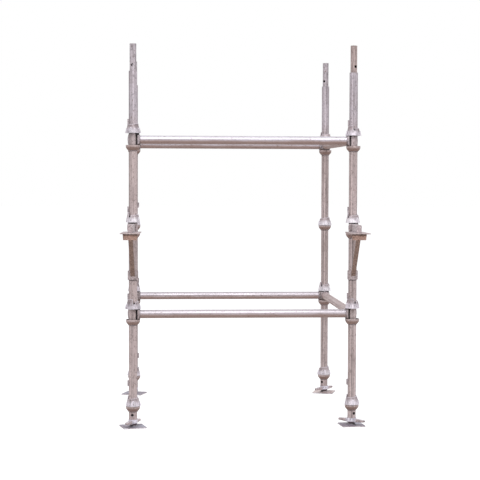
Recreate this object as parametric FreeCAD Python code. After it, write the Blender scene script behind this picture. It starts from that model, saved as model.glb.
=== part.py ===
import FreeCAD, Part
import math
import os

# One bay of a galvanised tube scaffold with cup joints: four standards on screw
# jacks, ledgers and transoms at two levels and two board brackets at the front.
# Millimetres. X runs along the front from left to right, Y to the back, Z up.
# The origin is on the ground under the axis of the front left standard.

# Bay grid, centre to centre of the standards
BAY_WIDTH = 1270.0
BAY_DEPTH = 1270.0

# Scaffold tube, the same for standards, ledgers and transoms
TUBE_OD = 48.3
TUBE_WALL = 3.2

# Gaps between pieces that fit together
WELD_FIT = 0.2  # between a tube and a piece welded round it
SLIDE_FIT = 0.9  # between a tube and the top cup that slides on it
THREAD_FIT = 0.35  # between the jack screw and its nut
TIP_FIT = 0.6  # between a blade tip and the cups round it
REST_FIT = 0.3  # under a top cup that rests on the bottom cup
RAMP_FIT = 1.0  # between a tightened ramp and the locking bar over it
SADDLE_FIT = 0.4  # between a standard and a bracket saddle

# Standard
STANDARD_LENGTH = 2000.0
FIRST_RIM = 78.0  # tube end to the rim of the first bottom cup
CUP_PITCH = 500.0
PIN_HOLE = 16.0
FOOT_HOLE_RISE = 27.0
SPIGOT_OD = 38.0
SPIGOT_WALL = 4.0
SPIGOT_RISE = 155.0
SPIGOT_DEPTH = 150.0
SPIGOT_HOLE_RISE = 34.0

# Bottom cup, a pressing welded to the standard. Heights are below its rim
CUP_WALL = 3.8
CUP_HEIGHT = 30.0
CUP_BAND = 10.0
CUP_DEPTH = 24.0
CUP_FOOT = 3.4
CUP_BULGE = 2.0

# Ledger blade, forged, one at each end of a ledger
BLADE_GAP = 0.8  # standard to the inner face of the blade
BLADE_THICKNESS = 11.0
BLADE_EDGE = 4.0  # thickness left at the bevelled side edges
BLADE_SPACE = 0.95  # side bevel to the diagonal between neighbouring blades
BLADE_TIP = 12.0  # how far a tip enters each cup
BLADE_TIP_SHARE = 0.7  # width at the tips as a share of the width at mid height
TIP_REACH = 12.5  # standard to the outer side of a tip
TIP_TAPER = 6.5
NECK_ROOM = 1.0  # wide part of a blade to the cup rims
SEAT = 61.0  # rim of the bottom cup to the rim of a tightened top cup
WELD_LEG = 5.0

# Top cup, a casting that slides on the standard. Heights are above its rim
CAP_LIP = 0.5  # how far its rim stands past the bottom cup's rim
CAP_BAND = 4.0
CAP_INNER_BAND = 7.0
CAP_CROWN = 31.0
CAP_SHOULDER = 46.0
COLLAR_WALL = 6.3
RAMP_LOW = 40.0
RAMP_HIGH = 58.0
RAMP_TURN = 330.0
RAMP_BITE = 13.0  # height on the ramp that meets the bar at the plain seat
LUG_OUT = 4.0
LUG_WIDTH = 10.0
LUG_HEIGHT = 30.0
LUG_CHAMFER = 3.0
LUG_ANGLES = (82.0, 172.0, 262.0)

# Locking bar, welded up the side of the standard over each pair of cups
BAR_WIDTH = 10.0
BAR_DEPTH = 8.0
BAR_LENGTH = 34.0
BAR_SIDE_ROOM = 1.5
SLOT_FOOT = 10.0
SLOT_LIP = 2.0  # wall left outside the slot where it breaks out
SLOT_LAP_ANGLE = 0.6  # how far the slot's side laps the foot of the ramp

# Screw jack
PLATE_SIDE = 135.0
PLATE_THICKNESS = 6.0
PLATE_CORNER = 4.0
SCREW_OD = 32.0
SCREW_LENGTH = 450.0
SCREW_WELD = 7.0
SCREW_GAP = 9.5  # plate to the underside of the nut
NUT_HEIGHT = 30.0
NUT_HUB_OD = 53.0
NUT_FOOT_OD = 43.0
NUT_FOOT_HEIGHT = 9.0
EAR_SPAN = 180.0
EAR_ROOT_WIDTH = 27.0
EAR_TIP_WIDTH = 20.0
EAR_THICKNESS = 25.0
EAR_TIP_THICKNESS = 11.0
EAR_DROP = 2.0  # top of the hub to the top of the ears
EAR_CORE = 6.0
EAR_CORE_DEPTH = 16.0

# Board bracket. Heights are from the rim of the bottom cup that holds it
BRACKET_SEAT = 56.0  # rim to rim over its blade, which is shorter than a ledger's
ARM_WIDTH = 28.0
ARM_HEIGHT = 43.0
ARM_WALL = 3.0
ARM_CORNER = 4.0
ARM_END = 235.0  # standard axis to the closed end of the arm
DECK_TOP = 7.0
DECK_THICKNESS = 5.0
DECK_WIDTH = 104.0
DECK_LENGTH = 272.0
DECK_START = 1.0  # lugs of the cups to the near edge of the deck
FLANGE_WIDTH = 83.0
FLANGE_TAPER = 3.0
FLANGE_DROP = 36.0
FLANGE_THICKNESS = 6.0
FLANGE_REACH = 240.0
STRUT_WIDTH = 25.0
STRUT_THICKNESS = 10.0
STRUT_FOOT = 250.0  # below the rim, where the strut's line meets the standard
SADDLE_WALL = 6.0
SADDLE_TOP = 219.0
SADDLE_LENGTH = 53.0
SADDLE_HALF_ANGLE = 84.0

TUBE_R = TUBE_OD / 2
BORE_R = TUBE_R - TUBE_WALL
SCREW_R = SCREW_OD / 2
FOOT = PLATE_THICKNESS + SCREW_GAP + NUT_HEIGHT
TIP_R = TUBE_R + TIP_REACH
CUP_INNER_R = TIP_R + TIP_FIT
CUP_RIM_R = CUP_INNER_R + CUP_WALL
CAP_RIM_R = CUP_RIM_R + CAP_LIP
CAP_BORE_R = TUBE_R + SLIDE_FIT
COLLAR_R = CAP_BORE_R + COLLAR_WALL
BLADE_INNER = TUBE_R + BLADE_GAP
BLADE_OUTER = BLADE_INNER + BLADE_THICKNESS
BLADE_HALF = BLADE_OUTER - BLADE_EDGE - BLADE_SPACE
BAR_FOOT = SEAT + RAMP_LOW + RAMP_BITE + RAMP_FIT
SLOT_HALF = BAR_WIDTH / 2 + BAR_SIDE_ROOM
SLOT_ANGLE = SLOT_LAP_ANGLE - math.degrees(math.asin(SLOT_HALF / COLLAR_R))

LEVELS = ("foot", "lower", "middle", "upper")
LEDGER_LEVELS = ("lower", "upper")
BRACKET_LEVEL = "middle"

# Corner of the bay, side of its locking bars, side of its pin holes, turn of
# its base plate and of its wing nut. Angles are in degrees from +X
CORNERS = {
    "front_left": (0.0, 0.0, 180.0, -100.0, 13.0, 64.0),
    "front_right": (BAY_WIDTH, 0.0, 180.0, -63.0, 6.0, -41.0),
    "back_left": (0.0, BAY_DEPTH, 0.0, -75.0, -19.0, 87.0),
    "back_right": (BAY_WIDTH, BAY_DEPTH, 90.0, -131.0, -17.0, 45.0),
}

# Tightened top cups, with the height each stands over or under its plain seat
LOCKED = {
    ("front_left", "lower"): -0.6,
    ("front_left", "middle"): 2.0,
    ("front_left", "upper"): 7.5,
    ("front_right", "lower"): 0.0,
    ("front_right", "middle"): 0.8,
    ("front_right", "upper"): -1.0,
    ("back_left", "lower"): 1.0,
    ("back_left", "upper"): 0.0,
    ("back_right", "lower"): 1.5,
    ("back_right", "upper"): -0.5,
}

# Ledgers and transoms, from one corner to the next
SPANS = {
    "ledger_front": ("front_left", "front_right"),
    "ledger_back": ("back_left", "back_right"),
    "transom_left": ("front_left", "back_left"),
    "transom_right": ("front_right", "back_right"),
}

# Board brackets: corner, and the direction the arm points
BRACKETS = {
    "bracket_left": ("front_left", -93.5),
    "bracket_right": ("front_right", -89.5),
}

ORIGIN = FreeCAD.Vector(0, 0, 0)
UP = FreeCAD.Vector(0, 0, 1)
OUT = FreeCAD.Vector(1, 0, 0)
SIDE = FreeCAD.Vector(0, 1, 0)
PARALLEL = 0.01


def profile_point(r, z):
    return FreeCAD.Vector(r, 0, z)


def prism(points, along):
    """Straight solid from a closed outline of points."""
    return Part.Face(Part.makePolygon(points + points[:1])).extrude(along)


def revolved(edges):
    """Solid of revolution about Z from edges in the half plane of +X and Z."""
    return Part.Face(Part.Wire(edges)).revolve(ORIGIN, UP, 360)


def turned(points):
    """Solid of revolution about Z from straight sides between points."""
    return revolved(Part.makePolygon(points + points[:1]).Edges)


def ring(outer, inner, height, base, along):
    solid = Part.makeCylinder(outer, height, base, along)
    margin = height * 0.1
    hollow = Part.makeCylinder(inner, height + 2 * margin, base - along * margin, along)
    return solid.cut(hollow)


def bowed(start, end, amount):
    """Arc from start to end, bowed out of its chord to the right of its way."""
    chord = end - start
    normal = chord.cross(SIDE)
    normal.normalize()
    middle = (start + end) * 0.5 - normal * amount
    return Part.Arc(start, middle, end).toShape()


def placed(shape, x, y, z, angle=0.0):
    """Copy of a shape turned about Z and then moved."""
    copy = shape.copy()
    copy.rotate(ORIGIN, UP, angle)
    copy.translate(FreeCAD.Vector(x, y, z))
    return copy


def rim_height(level):
    return FOOT + FIRST_RIM + CUP_PITCH * LEVELS.index(level)


def seat_height(level):
    """Height of a top cup's plain seat over the bottom cup's rim."""
    return BRACKET_SEAT if level == BRACKET_LEVEL else SEAT


def locked_turn(corner, level):
    """How far a tightened top cup has turned up its ramp from the ramp's foot."""
    climb = RAMP_BITE + SEAT - seat_height(level) - LOCKED[corner, level]
    return climb / (RAMP_HIGH - RAMP_LOW) * RAMP_TURN


def edges_along(solid, axis):
    return [edge for edge in solid.Edges if edge.tangentAt(0).cross(axis).Length < PARALLEL]


def direction(angle):
    turn = math.radians(angle)
    return FreeCAD.Vector(math.cos(turn), math.sin(turn), 0)


def pin_cutter(rise, angle):
    """Round bar through a tube on Z, to cut a pin hole through both walls."""
    along = direction(angle)
    return Part.makeCylinder(PIN_HOLE / 2, 2 * TUBE_OD, along * -TUBE_OD + UP * rise, along)


def standard_tube(hole_angle):
    tube = ring(TUBE_R, BORE_R, STANDARD_LENGTH, ORIGIN, UP)
    return tube.cut(pin_cutter(FOOT_HOLE_RISE, hole_angle))


def spigot(hole_angle):
    """Spigot from its root inside the tube end, which is at height 0."""
    root_r = BORE_R - WELD_FIT
    inner_r = SPIGOT_OD / 2 - SPIGOT_WALL
    outline = [
        profile_point(inner_r, -SPIGOT_DEPTH),
        profile_point(root_r, -SPIGOT_DEPTH),
        profile_point(root_r, 0),
        profile_point(SPIGOT_OD / 2, 0),
        profile_point(SPIGOT_OD / 2, SPIGOT_RISE),
        profile_point(inner_r, SPIGOT_RISE),
    ]
    return turned(outline).cut(pin_cutter(SPIGOT_HOLE_RISE, hole_angle))


def bottom_cup():
    inner_r = TUBE_R + WELD_FIT
    foot = profile_point(TUBE_R + CUP_FOOT, -CUP_HEIGHT)
    inner_foot = profile_point(inner_r, -CUP_HEIGHT)
    band = profile_point(CUP_RIM_R, -CUP_BAND)
    rim = profile_point(CUP_RIM_R, 0)
    inner_rim = profile_point(CUP_INNER_R, 0)
    inner_band = profile_point(CUP_INNER_R, -CUP_BAND)
    floor = profile_point(inner_r, -CUP_DEPTH)
    edges = [
        Part.makeLine(inner_foot, foot),
        bowed(foot, band, CUP_BULGE),
        Part.makeLine(band, rim),
        Part.makeLine(rim, inner_rim),
        Part.makeLine(inner_rim, inner_band),
        bowed(inner_band, floor, -CUP_BULGE),
        Part.makeLine(floor, inner_foot),
    ]
    return revolved(edges)


def cap_outer(height):
    """Radius of the top cup's cone outside at a height."""
    share = (height - CAP_BAND) / (CAP_SHOULDER - CAP_BAND)
    return CAP_RIM_R + (COLLAR_R - CAP_RIM_R) * share


def cap_wall_middle(height):
    """Radius in the middle of the top cup's sloping wall at a height."""
    share = (height - CAP_INNER_BAND) / (CAP_CROWN - CAP_INNER_BAND)
    inner_r = CUP_INNER_R + (CAP_BORE_R - CUP_INNER_R) * share
    return (cap_outer(height) + inner_r) / 2


def ramp_cutter():
    """Everything over the rising helical top of the top cup's collar."""
    rise = RAMP_HIGH - RAMP_LOW
    pitch = rise * 360 / RAMP_TURN
    inner = Part.makeHelix(pitch, rise, CAP_BORE_R * 0.8)
    outer = Part.makeHelix(pitch, rise, COLLAR_R * 1.2)
    ramp = Part.makeRuledSurface(inner.Edges[0], outer.Edges[0])
    cutter = ramp.extrude(UP * (2 * RAMP_HIGH))
    cutter.translate(UP * RAMP_LOW)
    return cutter


def top_cup():
    outline = [
        profile_point(CUP_INNER_R, 0),
        profile_point(CAP_RIM_R, 0),
        profile_point(CAP_RIM_R, CAP_BAND),
        profile_point(COLLAR_R, CAP_SHOULDER),
        profile_point(COLLAR_R, RAMP_HIGH),
        profile_point(CAP_BORE_R, RAMP_HIGH),
        profile_point(CAP_BORE_R, CAP_CROWN),
        profile_point(CUP_INNER_R, CAP_INNER_BAND),
    ]
    root_r = (CUP_INNER_R + CAP_RIM_R) / 2
    lug_side = [
        profile_point(root_r, 0),
        profile_point(CAP_RIM_R + LUG_OUT, 0),
        profile_point(CAP_RIM_R + LUG_OUT, CAP_BAND),
        profile_point(cap_outer(LUG_HEIGHT - LUG_CHAMFER) + LUG_OUT, LUG_HEIGHT - LUG_CHAMFER),
        profile_point(cap_outer(LUG_HEIGHT) + LUG_OUT - LUG_CHAMFER, LUG_HEIGHT),
        profile_point(cap_wall_middle(LUG_HEIGHT), LUG_HEIGHT),
        profile_point(root_r, CAP_INNER_BAND),
    ]
    lug = prism(lug_side, SIDE * LUG_WIDTH)
    lug.translate(SIDE * (-LUG_WIDTH / 2))
    cup = turned(outline)
    for angle in LUG_ANGLES:
        cup = cup.fuse(placed(lug, 0, 0, 0, angle))
    slot_reach = TUBE_R + BAR_DEPTH + BAR_SIDE_ROOM
    slot = Part.makeBox(slot_reach, 2 * SLOT_HALF, RAMP_HIGH)
    slot.translate(FreeCAD.Vector(0, -SLOT_HALF, SLOT_FOOT))
    lip_share = (CAP_RIM_R - slot_reach - SLOT_LIP) / (CAP_RIM_R - COLLAR_R)
    mouth = Part.makeBox(CAP_RIM_R, 2 * SLOT_HALF, RAMP_HIGH)
    mouth.translate(FreeCAD.Vector(0, -SLOT_HALF, CAP_BAND + (CAP_SHOULDER - CAP_BAND) * lip_share))
    slot = slot.fuse(mouth)
    return cup.cut(ramp_cutter()).cut(placed(slot, 0, 0, 0, SLOT_ANGLE))


def locking_bar():
    """Bar on the +X side of a tube on Z, its foot at height 0."""
    bar = Part.makeBox(TUBE_R + BAR_DEPTH, BAR_WIDTH, BAR_LENGTH)
    bar.translate(SIDE * (-BAR_WIDTH / 2))
    tube = Part.makeCylinder(TUBE_R + WELD_FIT, 3 * BAR_LENGTH, UP * -BAR_LENGTH, UP)
    return bar.cut(tube)


def blade(seat):
    """Blade on the +X side of a standard on Z, midway between the two cup rims."""
    half_tall = seat / 2 + BLADE_TIP
    tip_half = BLADE_HALF * BLADE_TIP_SHARE
    bevel_x = BLADE_HALF + BLADE_SPACE
    bevel_half = BLADE_INNER - BLADE_SPACE
    plan = prism([
        FreeCAD.Vector(BLADE_INNER, -bevel_half, -half_tall),
        FreeCAD.Vector(bevel_x, -BLADE_HALF, -half_tall),
        FreeCAD.Vector(BLADE_OUTER, -BLADE_HALF, -half_tall),
        FreeCAD.Vector(BLADE_OUTER, BLADE_HALF, -half_tall),
        FreeCAD.Vector(bevel_x, BLADE_HALF, -half_tall),
        FreeCAD.Vector(BLADE_INNER, bevel_half, -half_tall),
    ], UP * (2 * half_tall))
    low_left = FreeCAD.Vector(0, -tip_half, -half_tall)
    low_right = FreeCAD.Vector(0, tip_half, -half_tall)
    high_left = FreeCAD.Vector(0, -tip_half, half_tall)
    high_right = FreeCAD.Vector(0, tip_half, half_tall)
    front = Part.Wire([
        Part.makeLine(low_left, low_right),
        Part.Arc(low_right, SIDE * BLADE_HALF, high_right).toShape(),
        Part.makeLine(high_right, high_left),
        Part.Arc(high_left, SIDE * -BLADE_HALF, low_left).toShape(),
    ])
    barrel_side = Part.Face(front).extrude(OUT * (2 * BLADE_OUTER))
    wide_r = math.hypot(BLADE_OUTER, BLADE_HALF) + NECK_ROOM
    neck = seat / 2 - NECK_ROOM
    waist = neck - (wide_r - TIP_R)
    reach = turned([
        profile_point(0, -half_tall),
        profile_point(TIP_R - TIP_TAPER, -half_tall),
        profile_point(TIP_R, -half_tall + TIP_TAPER),
        profile_point(TIP_R, -neck),
        profile_point(wide_r, -waist),
        profile_point(wide_r, waist),
        profile_point(TIP_R, neck),
        profile_point(TIP_R, half_tall - TIP_TAPER),
        profile_point(TIP_R - TIP_TAPER, half_tall),
        profile_point(0, half_tall),
    ])
    return plan.common(barrel_side).common(reach)


def tube_weld():
    """Weld round a ledger tube where it meets the outer face of a blade."""
    base = OUT * BLADE_OUTER
    weld = Part.makeCone(TUBE_R + WELD_LEG, TUBE_R + WELD_FIT, WELD_LEG, base, OUT)
    return weld.cut(Part.makeCylinder(TUBE_R + WELD_FIT, 2 * BLADE_OUTER, ORIGIN, OUT))


def ledger_blade():
    return blade(SEAT).fuse(tube_weld())


def base_plate():
    plate = Part.makeBox(PLATE_SIDE, PLATE_SIDE, PLATE_THICKNESS)
    plate.translate(FreeCAD.Vector(-PLATE_SIDE / 2, -PLATE_SIDE / 2, 0))
    plate = plate.makeFillet(PLATE_CORNER, edges_along(plate, UP))
    weld_base = UP * PLATE_THICKNESS
    weld = Part.makeCone(SCREW_R + SCREW_WELD, SCREW_R + WELD_FIT, SCREW_WELD, weld_base, UP)
    bore = Part.makeCylinder(SCREW_R + WELD_FIT, 2 * SCREW_WELD, weld_base, UP)
    return plate.fuse(weld.cut(bore))


def jack_screw():
    return Part.makeCylinder(SCREW_R, SCREW_LENGTH, UP * PLATE_THICKNESS, UP)


def nut_ear():
    """One handle of the wing nut, out along +X, with a cored end."""
    tip_r = EAR_TIP_WIDTH / 2
    tip_x = EAR_SPAN / 2 - tip_r
    root = EAR_ROOT_WIDTH / 2
    top = NUT_HEIGHT - EAR_DROP
    foot = top - EAR_THICKNESS
    outline = Part.Wire([
        Part.makeLine(FreeCAD.Vector(0, -root, foot), FreeCAD.Vector(tip_x, -tip_r, foot)),
        Part.Arc(
            FreeCAD.Vector(tip_x, -tip_r, foot),
            FreeCAD.Vector(tip_x + tip_r, 0, foot),
            FreeCAD.Vector(tip_x, tip_r, foot),
        ).toShape(),
        Part.makeLine(FreeCAD.Vector(tip_x, tip_r, foot), FreeCAD.Vector(0, root, foot)),
        Part.makeLine(FreeCAD.Vector(0, root, foot), FreeCAD.Vector(0, -root, foot)),
    ])
    plan = Part.Face(outline).extrude(UP * EAR_THICKNESS)
    middle = (foot + top) / 2
    side = prism([
        FreeCAD.Vector(0, -EAR_SPAN, foot),
        FreeCAD.Vector(EAR_SPAN / 2, -EAR_SPAN, middle - EAR_TIP_THICKNESS / 2),
        FreeCAD.Vector(EAR_SPAN / 2, -EAR_SPAN, middle + EAR_TIP_THICKNESS / 2),
        FreeCAD.Vector(0, -EAR_SPAN, top),
    ], SIDE * (2 * EAR_SPAN))
    core_base = FreeCAD.Vector(EAR_SPAN / 2 - EAR_CORE_DEPTH, 0, middle)
    core = Part.makeCylinder(EAR_CORE / 2, 2 * EAR_CORE_DEPTH, core_base, OUT)
    return plan.common(side).cut(core)


def wing_nut():
    outline = [
        profile_point(0, 0),
        profile_point(NUT_FOOT_OD / 2, 0),
        profile_point(NUT_HUB_OD / 2, NUT_FOOT_HEIGHT),
        profile_point(NUT_HUB_OD / 2, NUT_HEIGHT),
        profile_point(0, NUT_HEIGHT),
    ]
    ear = nut_ear()
    body = turned(outline).fuse([ear, placed(ear, 0, 0, 0, 180)])
    thread = Part.makeCylinder(SCREW_R + THREAD_FIT, 3 * NUT_HEIGHT, UP * -NUT_HEIGHT, UP)
    return body.cut(thread)


def bracket_arm():
    """Blade and box arm, out along +X, with the cup rim at height 0."""
    length = ARM_END - BLADE_OUTER
    box = Part.makeBox(length, ARM_WIDTH, ARM_HEIGHT)
    box = box.makeFillet(ARM_CORNER, edges_along(box, OUT))
    hollow_size = (length - ARM_WALL, ARM_WIDTH - 2 * ARM_WALL, ARM_HEIGHT - 2 * ARM_WALL)
    hollow = Part.makeBox(*hollow_size)
    hollow.translate(FreeCAD.Vector(0, ARM_WALL, ARM_WALL))
    arm = box.cut(hollow)
    arm.translate(FreeCAD.Vector(BLADE_OUTER, -ARM_WIDTH / 2, DECK_TOP))
    return [placed(blade(BRACKET_SEAT), 0, 0, BRACKET_SEAT / 2), arm]


def bracket_deck():
    """Board plate under the arm with its cross flange."""
    start = CAP_RIM_R + LUG_OUT + DECK_START
    plate = Part.makeBox(DECK_LENGTH, DECK_WIDTH, DECK_THICKNESS)
    plate.translate(FreeCAD.Vector(start, -DECK_WIDTH / 2, DECK_TOP - DECK_THICKNESS))
    top = DECK_TOP - DECK_THICKNESS
    half = FLANGE_WIDTH / 2
    flange = prism([
        FreeCAD.Vector(FLANGE_REACH, -half, top),
        FreeCAD.Vector(FLANGE_REACH, half, top),
        FreeCAD.Vector(FLANGE_REACH, half - FLANGE_TAPER, top - FLANGE_DROP),
        FreeCAD.Vector(FLANGE_REACH, -half + FLANGE_TAPER, top - FLANGE_DROP),
    ], OUT * FLANGE_THICKNESS)
    return [plate.fuse(flange)]


def bracket_strut():
    """Bar from under the deck behind the flange to a saddle on the standard."""
    top = DECK_TOP - DECK_THICKNESS
    saddle_r = TUBE_R + SADDLE_FIT + SADDLE_WALL
    head = profile_point(FLANGE_REACH - STRUT_THICKNESS, top)
    heel = profile_point(TUBE_R, -STRUT_FOOT)
    line = head - heel
    line.normalize()
    across = line.cross(SIDE) * (STRUT_THICKNESS / 2)
    low = heel - line * STRUT_WIDTH
    high = head + line * STRUT_WIDTH
    bar = prism([low - across, high - across, high + across, low + across], SIDE * STRUT_WIDTH)
    bar.translate(SIDE * (-STRUT_WIDTH / 2))
    room = Part.makeBox(FLANGE_REACH, DECK_WIDTH, top + 2 * STRUT_FOOT)
    room.translate(FreeCAD.Vector(0, -DECK_WIDTH / 2, -2 * STRUT_FOOT))
    shell = ring(saddle_r, TUBE_R + SADDLE_FIT, SADDLE_LENGTH, UP * -(SADDLE_TOP + SADDLE_LENGTH), UP)
    reach = 3 * saddle_r
    edge = direction(SADDLE_HALF_ANGLE) * reach
    mirrored = FreeCAD.Vector(edge.x, -edge.y, 0)
    sector = prism([
        ORIGIN - UP * (2 * STRUT_FOOT),
        mirrored - UP * (2 * STRUT_FOOT),
        FreeCAD.Vector(reach, -reach, -2 * STRUT_FOOT),
        FreeCAD.Vector(reach, reach, -2 * STRUT_FOOT),
        edge - UP * (2 * STRUT_FOOT),
    ], UP * (2 * STRUT_FOOT))
    post = Part.makeCylinder(TUBE_R + SADDLE_FIT, 3 * STRUT_FOOT, UP * (-2.5 * STRUT_FOOT), UP)
    return [bar.common(room).fuse(shell.common(sector)).cut(post)]


def write(name, solids):
    """One file for a node, as one solid or as a group of separate solids."""
    for solid in solids:
        if not solid.isValid() or len(solid.Solids) != 1:
            raise ValueError(name + " is not one sound solid")
    shape = Part.makeCompound([solid.Solids[0] for solid in solids])
    if len(solids) == 1:
        shape = solids[0].Solids[0]
    shape.exportStep("parts/" + name + ".step")


def build_standards():
    cup = bottom_cup()
    bar = locking_bar()
    bars = []
    spigots = []
    for corner, (x, y, bar_angle, hole_angle, _, _) in CORNERS.items():
        write("standard_tube_" + corner, [placed(standard_tube(hole_angle), x, y, FOOT)])
        write("bottom_cups_" + corner, [placed(cup, x, y, rim_height(level)) for level in LEVELS])
        spigots.append(placed(spigot(hole_angle), x, y, FOOT + STANDARD_LENGTH))
        for level in LEVELS:
            bars.append(placed(bar, x, y, rim_height(level) + BAR_FOOT, bar_angle))
    write("locking_bars", bars)
    write("spigots", spigots)


def build_top_cups():
    cup = top_cup()
    for corner, (x, y, bar_angle, _, _, _) in CORNERS.items():
        for level in LEVELS:
            height = rim_height(level) + REST_FIT
            turn = bar_angle - SLOT_ANGLE
            if (corner, level) in LOCKED:
                height = rim_height(level) + seat_height(level) + LOCKED[corner, level]
                turn = bar_angle - locked_turn(corner, level)
            write("top_cup_" + corner + "_" + level, [placed(cup, x, y, height, turn)])


def build_ledgers():
    end = ledger_blade()
    for span, (first, second) in SPANS.items():
        x0, y0 = CORNERS[first][:2]
        x1, y1 = CORNERS[second][:2]
        length = math.hypot(x1 - x0, y1 - y0)
        angle = math.degrees(math.atan2(y1 - y0, x1 - x0))
        tube = ring(TUBE_R, BORE_R, length - 2 * BLADE_OUTER, OUT * BLADE_OUTER, OUT)
        for level in LEDGER_LEVELS:
            height = rim_height(level) + SEAT / 2
            name = span + "_" + level
            write(name, [placed(tube, x0, y0, height, angle)])
            near = placed(end, x0, y0, height, angle)
            far = placed(end, x1, y1, height, angle + 180)
            write(name + "_blades", [near, far])


def build_jacks():
    plate = base_plate()
    screw = jack_screw()
    nut = wing_nut()
    for corner, (x, y, _, _, plate_angle, nut_angle) in CORNERS.items():
        write("base_plate_" + corner, [placed(plate, x, y, 0, plate_angle)])
        write("jack_screw_" + corner, [placed(screw, x, y, 0)])
        write("wing_nut_" + corner, [placed(nut, x, y, FOOT - NUT_HEIGHT, nut_angle)])


def build_brackets():
    pieces = {"arm": bracket_arm(), "deck": bracket_deck(), "strut": bracket_strut()}
    for bracket, (corner, angle) in BRACKETS.items():
        x, y = CORNERS[corner][:2]
        height = rim_height(BRACKET_LEVEL)
        for piece, solids in pieces.items():
            write(bracket + "_" + piece, [placed(solid, x, y, height, angle) for solid in solids])


os.makedirs("parts", exist_ok=True)
build_standards()
build_top_cups()
build_ledgers()
build_jacks()
build_brackets()
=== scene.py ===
# %% [markdown]
# # A galvanised scaffold bay
# Four upright standards stand on screw jacks. Ledgers and transoms hang in cup joints at two levels, and
# two board brackets reach out at the front. The solids come from the CAD model, so this lesson adds what
# solids lack: the skin of old zinc, weld beads and threads, then the light and camera of the photograph.

# %% Load the frame
import math
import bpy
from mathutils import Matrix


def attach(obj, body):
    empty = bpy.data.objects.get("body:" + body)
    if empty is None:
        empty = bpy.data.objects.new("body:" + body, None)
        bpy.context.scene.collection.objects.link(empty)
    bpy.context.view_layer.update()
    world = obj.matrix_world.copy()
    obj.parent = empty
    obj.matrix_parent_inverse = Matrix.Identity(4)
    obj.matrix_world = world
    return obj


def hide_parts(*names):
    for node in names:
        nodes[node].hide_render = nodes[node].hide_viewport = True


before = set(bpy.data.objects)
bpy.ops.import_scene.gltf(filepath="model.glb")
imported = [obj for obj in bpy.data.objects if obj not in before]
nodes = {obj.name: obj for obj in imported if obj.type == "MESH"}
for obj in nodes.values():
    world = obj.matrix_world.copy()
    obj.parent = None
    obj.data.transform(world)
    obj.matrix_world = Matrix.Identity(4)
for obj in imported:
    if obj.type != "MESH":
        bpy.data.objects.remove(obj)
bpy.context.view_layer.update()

from types import SimpleNamespace

import bpy
from mathutils import Matrix, Vector

# %% [markdown]
# ## Sizes
# These values repeat the CAD model's own, in metres, so that a weld or a stain lands where the solid is.
# They could be measured on the meshes instead, but a few named numbers are easier to read and to change.
# Sizes that only one piece needs come later, beside that piece.

# %% Sizes of the bay
BAY = 1.270  # between the axes of two standards
TUBE_R = 0.02415
FOOT = 0.0455  # ground to the lower end of a standard
FIRST_RIM = 0.078  # lower end of a standard to the rim of its first bottom cup
CUP_PITCH = 0.500
SEAT = 0.061  # rim of a bottom cup to the rim of the top cup that locks a ledger in it
RIMS = [FOOT + FIRST_RIM + CUP_PITCH * level for level in range(4)]
print("cup rims at", [round(z, 3) for z in RIMS])

# %% [markdown]
# ## A short hand for shader nodes
# A zinc skin needs many small nodes. They could be drawn in the shader editor, but then they can't be read
# as text. `add` makes one node, sets its plain values and links the rest, so that each finish below reads as
# a recipe. Colours are written as the eye sees them, from 0 to 255.


# %% Node helpers
def colour(red, green, blue):
    """Display values from 0 to 255 as the linear colour that a shader wants."""
    def linear(value):
        share = value / 255
        return share / 12.92 if share <= 0.04045 else ((share + 0.055) / 1.055) ** 2.4
    return (linear(red), linear(green), linear(blue), 1.0)


def add(tree, kind, settings=None, **inputs):
    """One node. Settings are its options; inputs are sockets by name, or by number after a _."""
    node = tree.nodes.new(kind)
    for option, value in (settings or {}).items():
        setattr(node, option, value)
    for name, value in inputs.items():
        socket = node.inputs[int(name[1:]) if name[0] == "_" else name.replace("_", " ")]
        if isinstance(value, bpy.types.NodeSocket):
            tree.links.new(value, socket)
        else:
            socket.default_value = value
    return node


def blank_material(name):
    """A material with no nodes yet, and its tree."""
    material = bpy.data.materials.new(name)
    material.use_nodes = True
    material.node_tree.nodes.clear()
    return material, material.node_tree


print("node helpers ready")


# %% Arithmetic with nodes
def math_of(tree, operation, first, second=0.0, clamp=False):
    settings = {"operation": operation, "use_clamp": clamp}
    return add(tree, "ShaderNodeMath", settings, _0=first, _1=second).outputs[0]


def vector_of(tree, operation, first, second=(0.0, 0.0, 0.0)):
    """Vector arithmetic. A length or a dot product comes out as a number."""
    node = add(tree, "ShaderNodeVectorMath", {"operation": operation}, _0=first, _1=second)
    return node.outputs["Value" if operation in ("LENGTH", "DOT_PRODUCT") else "Vector"]


def ramp_of(tree, value, low, high, start=0.0, end=1.0):
    """Smooth step of a value from low to high, as start to end."""
    ramp = add(tree, "ShaderNodeMapRange", {"interpolation_type": "SMOOTHSTEP"}, _0=value, _1=low, _2=high,
               _3=start, _4=end)
    return ramp.outputs[0]


def mixed(tree, share, first, second):
    """Colour mix from first to second."""
    return add(tree, "ShaderNodeMix", {"data_type": "RGBA"}, _0=share, _6=first, _7=second).outputs[2]


print("arithmetic ready")

# %% [markdown]
# ## Where a point lies, and which way it faces
# Weather works from outside: dust settles on what faces up, water stains what faces down, and grime stays
# in crevices where nothing wipes it off. Light falls the same way, so the same maps also carry painted light
# on what faces up and painted shade below, in crevices and under overhangs. Painted pictures could show
# that, but each piece would need unwrapping. Here every finish starts from the same maps of the surface,
# worked out by nodes. The bay is square, so folding X and Y at half a bay gives the distance of any point
# from the nearest standard. Ambient occlusion finds the crevices. Its normal leans upwards, so that an
# underside counts as hidden and gets painted shade.


# %% Noise and cells
def noise_of(tree, place, scale, detail=3.0, roughness=0.55):
    noise = add(tree, "ShaderNodeTexNoise", Vector=place, Scale=scale, Detail=detail, Roughness=roughness)
    return noise.outputs[0]


def cells_of(tree, place, scale):
    """Voronoi cells: the distance to the nearest centre and a colour for each cell."""
    return add(tree, "ShaderNodeTexVoronoi", {"feature": "F1"}, Vector=place, Scale=scale).outputs


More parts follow.
